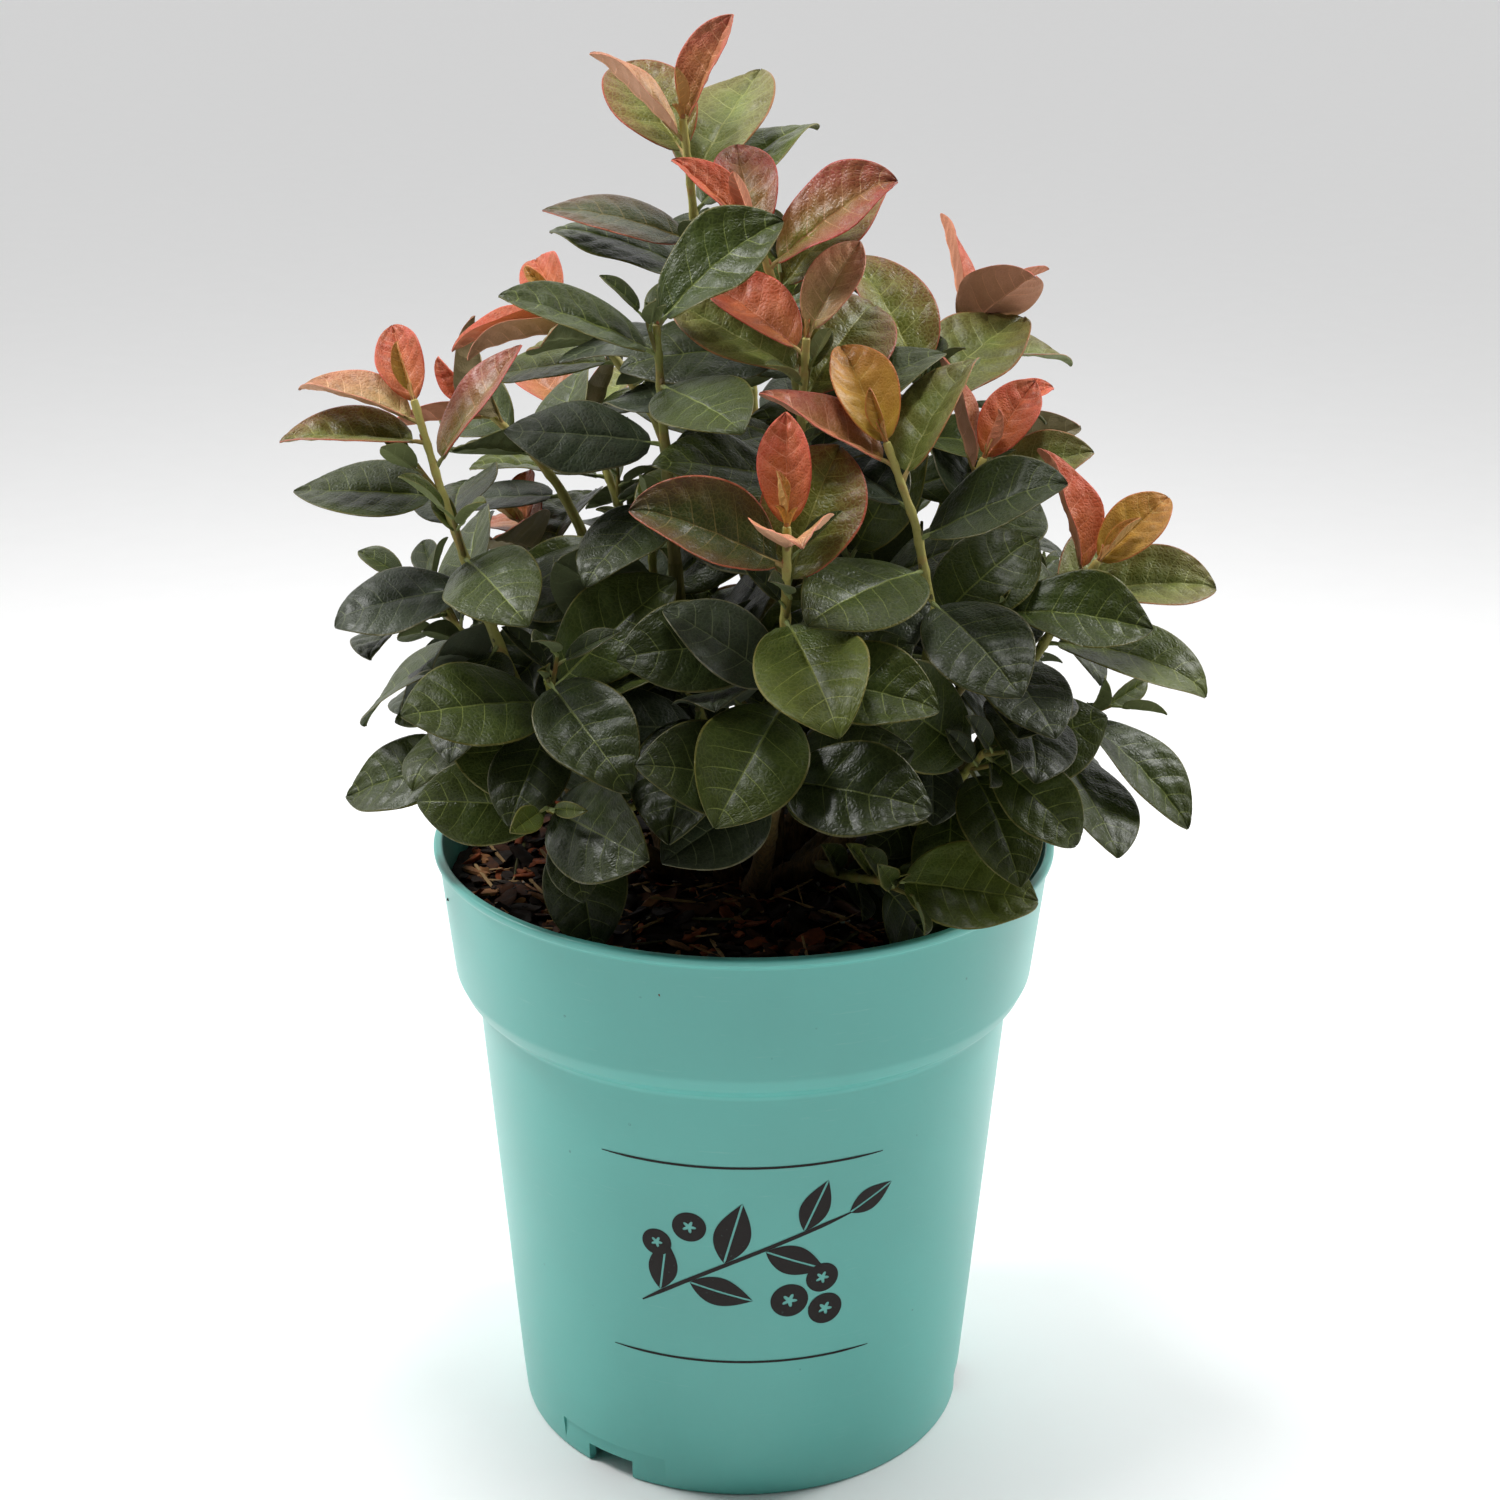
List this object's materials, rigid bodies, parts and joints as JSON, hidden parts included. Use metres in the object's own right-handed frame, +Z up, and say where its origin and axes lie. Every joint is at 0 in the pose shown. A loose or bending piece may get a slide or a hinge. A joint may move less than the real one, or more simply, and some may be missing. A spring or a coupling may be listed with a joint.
{
  "type": "potted blueberry bush",
  "caption": "Bushy young blueberry plant with leafy shoots and red new growth, in a round tapered growing pot with a deep collar.",
  "frame": {"origin": "the middle of the pot's flat underside, on the ground", "axes": "+Z up the pot's axis, -Y towards the viewer of the picture, +X to that viewer's right"},
  "size_m": [0.2916, 0.2648, 0.4805],
  "materials": {
    "pot": "turquoise moulded plastic, satin",
    "compost": "dark bark and peat, rough",
    "bark": "thin brown-green bark, matte",
    "leaf": "leathery dark green leaf, half gloss, red on new growth"
  },
  "bodies": {
    "root": {"cane_back": "bark", "cane_back_left": "bark", "cane_back_right": "bark", "cane_centre": "bark", "cane_front": "bark", "cane_leader": "bark", "cane_left": "bark", "cane_left_back": "bark", "cane_left_high": "bark", "cane_right": "bark", "cane_right_bud": "bark", "cane_right_centre": "bark", "cane_right_high": "bark", "cane_second": "bark", "compost": "compost", "pot": "pot", "shoot_back": "leaf", "shoot_back_left": "leaf", "shoot_back_right": "leaf", "shoot_centre": "leaf", "shoot_fill_01": "leaf", "shoot_fill_02": "leaf", "shoot_fill_04": "leaf", "shoot_fill_05": "leaf", "shoot_fill_06": "leaf", "shoot_fill_08": "leaf", "shoot_fill_09": "leaf", "shoot_fill_10": "leaf", "shoot_fill_11": "leaf", "shoot_fill_12": "leaf", "shoot_fill_13": "leaf", "shoot_fill_14": "leaf", "shoot_fill_15": "leaf", "shoot_fill_16": "leaf", "shoot_fill_17": "leaf", "shoot_fill_18": "leaf", "shoot_fill_19": "leaf", "shoot_fill_20": "leaf", "shoot_fill_21": "leaf", "shoot_fill_22": "leaf", "shoot_fill_23": "leaf", "shoot_fill_24": "leaf", "shoot_fill_25": "leaf", "shoot_front": "leaf", "shoot_leader": "leaf", "shoot_left": "leaf", "shoot_left_back": "leaf", "shoot_left_high": "leaf", "shoot_low_front": "leaf", "shoot_low_front_left": "leaf", "shoot_low_front_right": "leaf", "shoot_low_left": "leaf", "shoot_low_right": "leaf", "shoot_right": "leaf", "shoot_right_bud": "leaf", "shoot_right_centre": "leaf", "shoot_right_high": "leaf", "shoot_second": "leaf", "shoot_third": "leaf", "shoot_upper_right": "leaf"}
  },
  "joints": []
}
